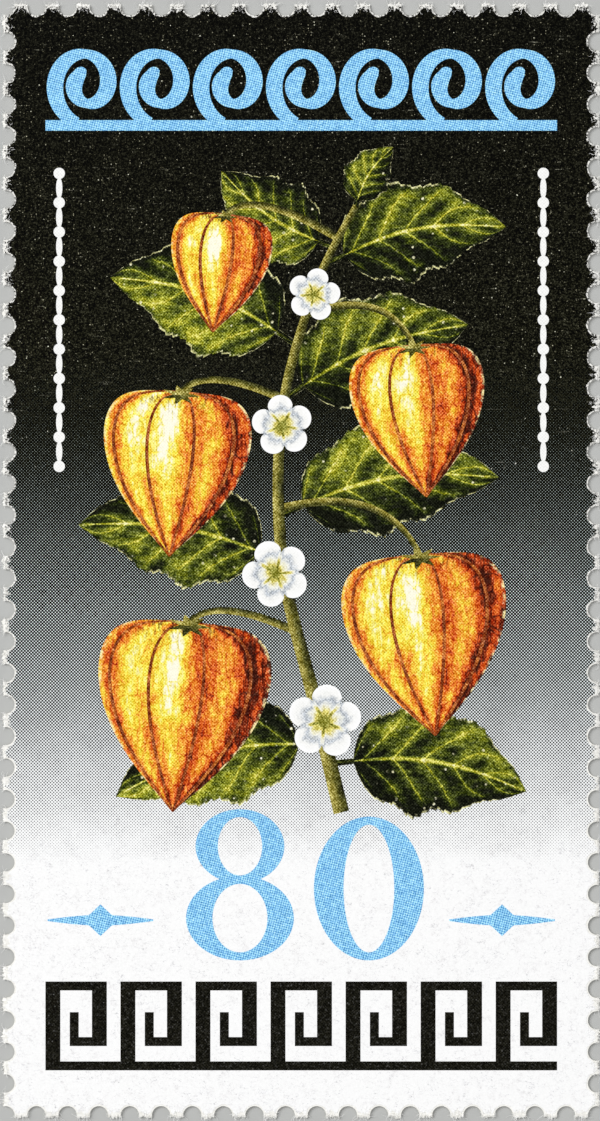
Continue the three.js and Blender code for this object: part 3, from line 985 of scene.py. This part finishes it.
class STAMP_OT_make_key(StampOperator, bpy.types.Operator):
    """Makes the square key along the bottom"""

    bl_idname = "stamp.make_key"
    bl_label = "Square key"

    def make(self):
        b = Settings("borders")
        pitch = (2 * b.half - b.key_span) / (b.units - 1)
        drop = b.key_height - 2 * b.key_bar - b.key_hook
        turns = [
            (0.0, b.key_height - 2 * b.key_bar), (0.0, b.key_bar),
            (b.key_span - 2 * b.key_post, 0.0), (b.key_post, 0.0),
            (0.0, -drop), (0.0, -b.key_bar),
            (b.key_hook + b.key_bar + b.key_post - b.key_span, 0.0), (-b.key_bar, 0.0),
            (0.0, b.key_reach - b.key_hook - b.key_bar),
        ]
        bm = bmesh.new()
        foot = [bm.verts.new((-b.half, b.key_foot + y, face_height())) for y in (0.0, b.key_bar)]
        end = bm.edges.new(foot)
        for i in range(b.units):
            corner = self.draw_out(bm, end, b.key_post, 0.0)
            gap = (pitch if i + 1 < b.units else b.key_span) - b.key_post
            end = self.side(self.draw_out(bm, self.side(corner, 1, 0), gap, 0.0), 1, 0)
            for x, y in turns:
                corner = self.draw_out(bm, self.side(corner, x, y), x, y)
        thicken(bm, bm.faces[:] + bm.edges[:] + bm.verts[:], ink_top())
        finish_piece("square_key_print", bm, black_ink(), "square_key")

    def draw_out(self, bm, edge, x, y):
        """A new face, swept by an edge that moves by x and y."""
        made = bmesh.ops.extrude_edge_only(bm, edges=[edge])["geom"]
        moved = [item for item in made if isinstance(item, bmesh.types.BMVert)]
        bmesh.ops.translate(bm, vec=(x, y, 0.0), verts=moved)
        return next(item for item in made if isinstance(item, bmesh.types.BMFace))

    def side(self, face, x, y):
        """The edge of a face that lies furthest towards x and y."""
        return max(face.edges, key=lambda edge: sum(v.co.x * x + v.co.y * y for v in edge.verts))


class STAMP_OT_make_beads(StampOperator, bpy.types.Operator):
    """Makes the two lines of beads"""

    bl_idname = "stamp.make_beads"
    bl_label = "Bead lines"

    def make(self):
        b = Settings("borders")
        first = b.bead_low + b.bead[1]
        pitch = (b.bead_high - b.bead[1] - first) / b.bead_pairs
        ys = [first + i * pitch for i in range(b.bead_pairs + 1)]
        for side, x in (("left", -b.bead_x), ("right", b.bead_x)):
            shapes = [(disc_place((x, y), b.bead), BEAD_GRID, CROSSING) for y in ys]
            shapes += [(disc_place((x, y + pitch / 2), b.almond), BEAD_GRID, 1.0) for y in ys[:-1]]
            print_node(f"bead_line_{side}", shapes, white_print())


class STAMP_OT_make_value(StampOperator, bpy.types.Operator):
    """Makes the two plain figures and the swelled rules"""

    bl_idname = "stamp.make_value"
    bl_label = "Figures and rules"

    def make(self):
        value = Settings("value")
        zero_y = value.foot + value.zero_outer[1]
        low_y = value.foot + value.low_outer[1]
        high_y = low_y + value.low_outer[1] - value.waist + value.high_outer[1]
        zero = ring_place((value.zero_x, zero_y), value.zero_outer, value.zero_inner)
        low = ring_place((value.eight_x, low_y), value.low_outer, value.low_inner)
        high = ring_place((value.eight_x, high_y), value.high_outer, value.high_inner)
        for node, shapes in (
            ("figure_zero", [(zero, BOWL_GRID, 1.0)]),
            ("figure_eight", [(low, BOWL_GRID, 1.0), (high, BOWL_GRID, CROSSING)]),
            ("rule_left", [(self.rule(value, -value.rule_x), RULE_GRID, 1.0)]),
            ("rule_right", [(self.rule(value, value.rule_x), RULE_GRID, 1.0)]),
        ):
            print_node(node, shapes, blue_ink())

    def rule(self, value, x):
        """A rule that swells to a lozenge in its middle."""
        wide, tall = value.lozenge

        def place_at(t):
            return Vector((x + (2 * t - 1) * value.rule_half, value.rule_y))

        def width_at(t):
            off = abs(2 * t - 1) * value.rule_half
            line = mix(value.rule_thin, value.rule_thick, math.sin(math.pi * t))
            return max(line, 2 * tall * (1 - off / wide))
        return strip_place(place_at, width_at)


class Sprig:
    """The sprig's layout, in millimetres and degrees."""

    stem = [(1.9, -11.9), (0.6, -6.5), (-0.9, 0), (-0.9, 7), (0.7, 13), (2.6, 16.8)]
    stem_width = (0.75, 0.3)
    stalk_width = (0.4, 0.26)
    stalk_arch = 1.3
    stalk_crest = 0.75
    # x and y of the top, width, height, tilt, and the share of the stem where the stalk leaves
    lanterns = [
        (-5.3, -2.9, 8.2, 9.0, -5, 0.3),
        (5.6, 0.3, 7.8, 8.6, 5, 0.47),
        (-5.7, 8.0, 7.0, 7.8, -4, 0.62),
        (5.3, 10.2, 6.4, 7.2, 5, 0.75),
        (-3.6, 16.4, 4.8, 5.6, -6, 0.9),
    ]
    lantern_swell = (0.5, 1.05)
    warmth = 0.04
    shoulder = 0.14
    ribs = (-60, -24, 13, 50)
    rib_width = (0.06, 0.16)
    cap = 0.13  # half the width of a lantern's cap, as a share of the lantern's width
    cap_lobes = 7
    cap_notch = 0.55
    cap_sink = 0.02
    cap_squash = 0.5
    # share of the stem, direction, length, half width, bend
    leaves = [
        (0.1, -8, 9.4, 2.5, 0.8),
        (0.13, 194, 10.2, 2.4, -0.9),
        (0.4, 170, 9.8, 2.5, -0.7),
        (0.46, 10, 10.6, 2.4, 0.9),
        (0.62, 22, 9.4, 2.5, 0.7),
        (0.7, 160, 9.4, 2.6, -0.8),
        (0.84, 12, 8.8, 2.2, 0.8),
        (0.88, 146, 6.4, 1.9, 0.5),
        (0.99, 58, 3.4, 1.0, 0.3),
    ]
    leaf_stalk = (0.3, 0.12)
    leaf_swell = (0.6, 1.0)
    leaf_sun = (0.7, 1.0)  # by turns
    leaf_waves = 3.5
    leaf_wave = 0.08
    teeth = 19
    tooth = 0.07
    # x, y, radius, turn
    blossoms = [
        (1.1, -7.6, 1.75, 12),
        (-1.2, -0.6, 1.6, 40),
        (-0.9, 6.4, 1.45, 24),
        (0.6, 12.6, 1.25, 5),
    ]
    lobes = 5
    lobe_depth = 0.36
    lobe_round = 0.6

    # How high each kind lies over the coating, in passes of ink: later ones lie a little higher
    leaf_pass = 0.6
    stalk_pass = 1.6
    stem_pass = 1.7
    bloom_pass = 2.0
    rib_pass = 2.4
    cap_pass = 2.9
    next_pass = 0.1


def turned(x, y, degrees):
    """A step of x and y, turned counter-clockwise."""
    return Matrix.Rotation(math.radians(degrees), 2) @ Vector((x, y))


def stem_at(t):
    return spline(Sprig.stem, t)


class STAMP_OT_make_leaves(StampOperator, bpy.types.Operator):
    """Makes the painted leaves"""

    bl_idname = "stamp.make_leaves"
    bl_label = "Leaves"

    def make(self):
        for i, (node, *form) in enumerate(Sprig.leaves):
            leaf = self.leaf(stem_at(node), *form)
            finish = leaf_finish(f"painted_leaf_{i + 1}", Sprig.leaf_sun[i % 2])
            shapes = [(leaf, LEAF_GRID, Sprig.leaf_pass + Sprig.next_pass * i)]
            print_piece(f"leaf_{i + 1}", shapes, finish, "sprig")

    def leaf(self, foot, turn, reach, half, bend):
        stalk, bare = Sprig.leaf_stalk

        def place_at(t):
            return foot + turned(reach * t, bend * math.sin(math.pi * t), turn)

        def width_at(t):
            blade = max(0.0, (t - bare) / (1 - bare))
            edge = 1 + Sprig.leaf_wave * math.sin(2 * math.pi * Sprig.leaf_waves * blade)
            edge += Sprig.tooth * (Sprig.teeth * blade % 1.0 - 0.5)
            return stalk * (1 - t) + 2 * half * swell(*Sprig.leaf_swell, blade) * edge
        return strip_place(place_at, width_at)


class STAMP_OT_make_stem(StampOperator, bpy.types.Operator):
    """Makes the stem and the stalks of the lanterns"""

    bl_idname = "stamp.make_stem"
    bl_label = "Stem and stalks"

    def make(self):
        shapes = []
        for x, y, _, _, _, node in Sprig.lanterns:
            stalk = self.stalk(stem_at(node), Vector((x, y)))
            shapes.append((stalk, STALK_GRID, Sprig.stalk_pass))
        stem = strip_place(stem_at, lambda t: mix(*Sprig.stem_width, t))
        shapes.append((stem, STEM_GRID, Sprig.stem_pass))
        print_piece("stem", shapes, stem_finish(), "sprig")

    def stalk(self, start, end):
        crest_x = mix(start.x, end.x, Sprig.stalk_crest)
        crest = Vector((crest_x, max(start.y, end.y) + Sprig.stalk_arch))

        def place_at(t):
            return start * (1 - t) ** 2 + crest * (2 * t * (1 - t)) + end * t**2
        return strip_place(place_at, lambda t: mix(*Sprig.stalk_width, t))


class STAMP_OT_make_lanterns(StampOperator, bpy.types.Operator):
    """Makes the painted lanterns and their ribs"""

    bl_idname = "stamp.make_lanterns"
    bl_label = "Lanterns"

    def make(self):
        rib_ink = rib_finish()
        for i, spec in enumerate(Sprig.lanterns):
            finish = lantern_finish(f"painted_lantern_{i + 1}", Sprig.warmth * (i % 3 - 1))
            shapes = [(self.lantern(spec), LANTERN_GRID, Sprig.bloom_pass)]
            print_node(f"lantern_{i + 1}", shapes, finish)
            ribs = []
            for k, degrees in enumerate(Sprig.ribs):
                rib = strip_place(self.rib_line(spec, degrees), self.rib_width)
                ribs.append((rib, RIB_GRID, Sprig.rib_pass + Sprig.next_pass * k))
            print_node(f"lantern_ribs_{i + 1}", ribs, rib_ink)
        caps = [(self.cap(spec), CAP_GRID, Sprig.cap_pass) for spec in Sprig.lanterns]
        print_piece("lantern_caps", caps, stem_finish(), "sprig")

    def cap(self, spec):
        """The small lobed cap where a stalk meets its lantern."""
        x, y, width, height, tilt, _ = spec
        middle = Vector((x, y)) + turned(0, -Sprig.cap_sink * height, tilt)

        def place(u, v):
            lobe = 1 - Sprig.cap_notch * abs(math.sin(Sprig.cap_lobes * math.pi * u / 2))
            reach = Sprig.cap * width * (1 - v) * lobe
            rise = reach * Sprig.cap_squash * math.sin(math.pi * u)
            return middle + turned(reach * math.cos(math.pi * u), rise, tilt)
        return place

    def rib_width(self, t):
        return mix(*Sprig.rib_width, math.sin(math.pi * t))

    def rib_line(self, spec, degrees):
        lantern = self.lantern(spec)
        off = math.sin(math.radians(degrees))
        return lambda t: lantern(off, t)

    def lantern(self, spec):
        x, y, width, height, tilt, _ = spec

        def place(u, v):
            down = (1 - math.cos(math.pi * v)) / 2
            reach = u * swell(*Sprig.lantern_swell, down)
            rise = Sprig.shoulder * reach**2 * (1 - down) ** 2
            return Vector((x, y)) + turned(reach * width / 2, height * (rise - down), tilt)
        return place


class STAMP_OT_make_blossoms(StampOperator, bpy.types.Operator):
    """Makes the painted blossoms"""

    bl_idname = "stamp.make_blossoms"
    bl_label = "Blossoms"

    def make(self):
        finish = blossom_finish()
        for i, spec in enumerate(Sprig.blossoms):
            shapes = [(self.blossom(*spec), BLOSSOM_GRID, Sprig.bloom_pass)]
            print_node(f"blossom_{i + 1}", shapes, finish)

    def blossom(self, x, y, radius, turn):
        def place(u, v):
            angle = math.pi * u
            notch = abs(math.cos(Sprig.lobes * angle / 2)) ** Sprig.lobe_round
            reach = radius * (1 - Sprig.lobe_depth + Sprig.lobe_depth * notch)
            return Vector((x, y)) + turned(reach * (1 - v), 0, math.degrees(angle) + turn)
        return place


class STAMP_OT_make_stage(StampOperator, bpy.types.Operator):
    """Makes the table, the soft lights and the camera"""

    bl_idname = "stamp.make_stage"
    bl_label = "Table, lights and camera"

    # name, place and width in metres, watts
    lights = (
        ("key_light", (-0.55, 0.35, 0.6), 0.5, 6.5),
        ("fill_light", (0.55, -0.3, 0.6), 0.6, 1.9),
    )
    room_light = 0.35
    table_half = 1.5
    table_drop = 0.00002
    sensor = 36.0

    def make(self):
        scene = bpy.context.scene
        self.table(scene)
        self.camera(scene)
        for light in self.lights:
            self.light(scene, *light)
        world = bpy.data.worlds.new("room")
        world.use_nodes = True
        backdrop = world.node_tree.nodes["Background"]
        backdrop.inputs["Color"].default_value = (1.0, 1.0, 1.0, 1.0)
        backdrop.inputs["Strength"].default_value = self.room_light
        scene.world = world
        scene.view_settings.view_transform = "Standard"
        scene.view_settings.look = "None"
        scene.view_settings.exposure = 0.0
        scene.view_settings.gamma = 1.0

    def table(self, scene):
        bm = bmesh.new()
        bmesh.ops.create_grid(bm, x_segments=1, y_segments=1, size=self.table_half)
        bmesh.ops.translate(bm, vec=(0, 0, -self.table_drop), verts=bm.verts)
        mesh = bpy.data.meshes.new("table")
        bm.to_mesh(mesh)
        bm.free()
        mesh.materials.append(floor_finish())
        table = bpy.data.objects.new("table", mesh)
        scene.collection.objects.link(table)

    def camera(self, scene):
        """A camera straight over the stamp."""
        stage = Settings("stage")
        data = bpy.data.cameras.new("camera")
        data.lens = stage.lens
        data.sensor_width = self.sensor
        data.clip_start = 0.001
        data.clip_end = 10.0
        camera = bpy.data.objects.new("camera", data)
        rise = stage.frame_height * stage.lens / self.sensor
        camera.location = Vector((stage.camera_x, stage.camera_y, face_height() + rise)) * MM
        scene.collection.objects.link(camera)
        scene.camera = camera

    def light(self, scene, name, place, width, watts):
        """A square light that faces the stamp."""
        data = bpy.data.lights.new(name, "AREA")
        data.shape = "SQUARE"
        data.size = width
        data.energy = watts
        lamp = bpy.data.objects.new(name, data)
        lamp.location = place
        lamp.rotation_euler = (-Vector(place)).to_track_quat("-Z", "Y").to_euler()
        scene.collection.objects.link(lamp)


OPERATORS = (
    STAMP_OT_make_stage,
    STAMP_OT_make_sheet,
    STAMP_OT_make_fibres,
    STAMP_OT_make_face,
    STAMP_OT_make_scroll,
    STAMP_OT_make_key,
    STAMP_OT_make_beads,
    STAMP_OT_make_value,
    STAMP_OT_make_leaves,
    STAMP_OT_make_stem,
    STAMP_OT_make_lanterns,
    STAMP_OT_make_blossoms,
)


class STAMP_PT_panel(bpy.types.Panel):
    """Lists the steps that make the stamp"""

    bl_label = "Stamp"
    bl_space_type = "VIEW_3D"
    bl_region_type = "UI"
    bl_category = "Stamp"

    def draw(self, context):
        for operator in OPERATORS:
            self.layout.operator(operator.bl_idname)
        for name in GROUPS:
            group = getattr(context.scene, "stamp_" + name)
            box = self.layout.box()
            for prop in group.bl_rna.properties:
                if not prop.is_readonly and prop.identifier != "name":
                    box.prop(group, prop.identifier)


def register():
    for name, group in GROUPS.items():
        bpy.utils.register_class(group)
        setattr(bpy.types.Scene, "stamp_" + name, bpy.props.PointerProperty(type=group))
    for operator in OPERATORS:
        bpy.utils.register_class(operator)
    bpy.utils.register_class(STAMP_PT_panel)


def unregister():
    bpy.utils.unregister_class(STAMP_PT_panel)
    for operator in reversed(OPERATORS):
        bpy.utils.unregister_class(operator)
    for name, group in GROUPS.items():
        delattr(bpy.types.Scene, "stamp_" + name)
        bpy.utils.unregister_class(group)


def main():
    register()
    for operator in OPERATORS:
        getattr(bpy.ops.stamp, operator.bl_idname.split(".")[1])()


if __name__ == "__main__":
    main()
